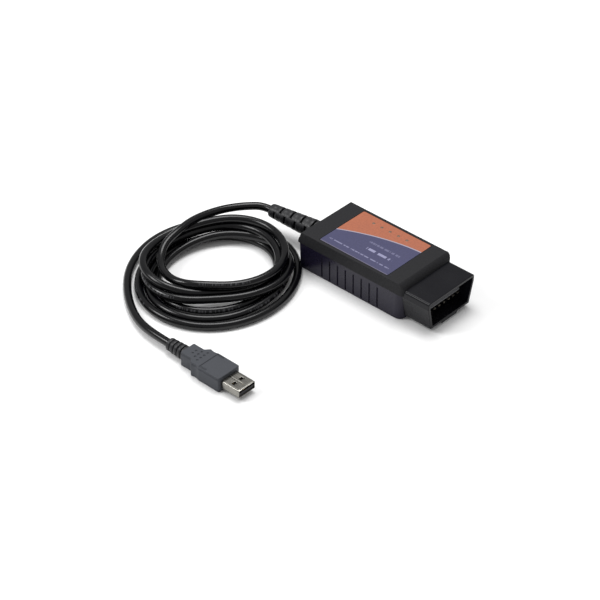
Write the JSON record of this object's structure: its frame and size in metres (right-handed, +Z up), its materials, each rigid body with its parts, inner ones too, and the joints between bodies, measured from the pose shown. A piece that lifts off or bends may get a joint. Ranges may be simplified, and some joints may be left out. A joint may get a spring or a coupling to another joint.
{
  "type": "obd code reader",
  "caption": "Vehicle diagnostic interface: black two-part case with a diagnostic plug at one end and a coiled USB lead with strain relief at the other.",
  "frame": {"origin": "on the surface the case stands on, under the middle of the case and its diagnostic plug", "axes": "+X along the case towards the diagnostic plug, +Z up from the base to the label, +Y to the left of the case when looking along +X"},
  "size_m": [0.1664, 0.1508, 0.0243],
  "materials": {
    "case_cover_black": "fine matte ABS",
    "case_body_black": "satin ABS",
    "label_film": "printed polycarbonate film, orange over violet blue",
    "plug_black": "satin nylon",
    "carrier_black": "matte nylon",
    "screw_steel": "zinc plated",
    "pin_brass": "tin plated brass",
    "board_green": "solder mask",
    "chip_black": "moulded epoxy",
    "can_silver": "satin",
    "ceramic_tan": "ceramic",
    "led_clear": "clear epoxy",
    "header_white": "nylon",
    "wire_red": "PVC",
    "wire_white": "PVC",
    "wire_green": "PVC",
    "wire_black": "PVC",
    "boot_rubber": "satin PVC",
    "cable_jacket": "glossy PVC",
    "usb_grip_black": "satin PVC",
    "usb_steel": "nickel plated steel",
    "usb_insulator_black": "matte",
    "contact_gold": "gold plated"
  },
  "bodies": {
    "root": {"top_cover": "case_cover_black", "bottom_case": "case_body_black", "front_label": "label_film", "case_screws": "screw_steel", "obd_plug_shell": "plug_black", "pin_carrier": "carrier_black", "upper_pins": "pin_brass", "lower_pins": "pin_brass", "circuit_board": "board_green", "microcontroller": "chip_black", "can_transceiver": "chip_black", "usb_bridge_chip": "chip_black", "crystals": "can_silver", "voltage_regulator": "chip_black", "electrolytic_capacitors": "can_silver", "chip_components": "ceramic_tan", "indicator_leds": "led_clear", "cable_header": "header_white", "cable_connector": "header_white", "red_wire": "wire_red", "white_wire": "wire_white", "green_wire": "wire_green", "black_wire": "wire_black", "strain_relief": "boot_rubber", "cable_stub": "cable_jacket", "cable_coil": "cable_jacket", "cable_lead": "cable_jacket", "cable_tail": "cable_jacket", "usb_boot": "usb_grip_black", "usb_grip": "usb_grip_black", "usb_shell": "usb_steel", "usb_insulator": "usb_insulator_black", "usb_contacts": "contact_gold"}
  },
  "joints": []
}
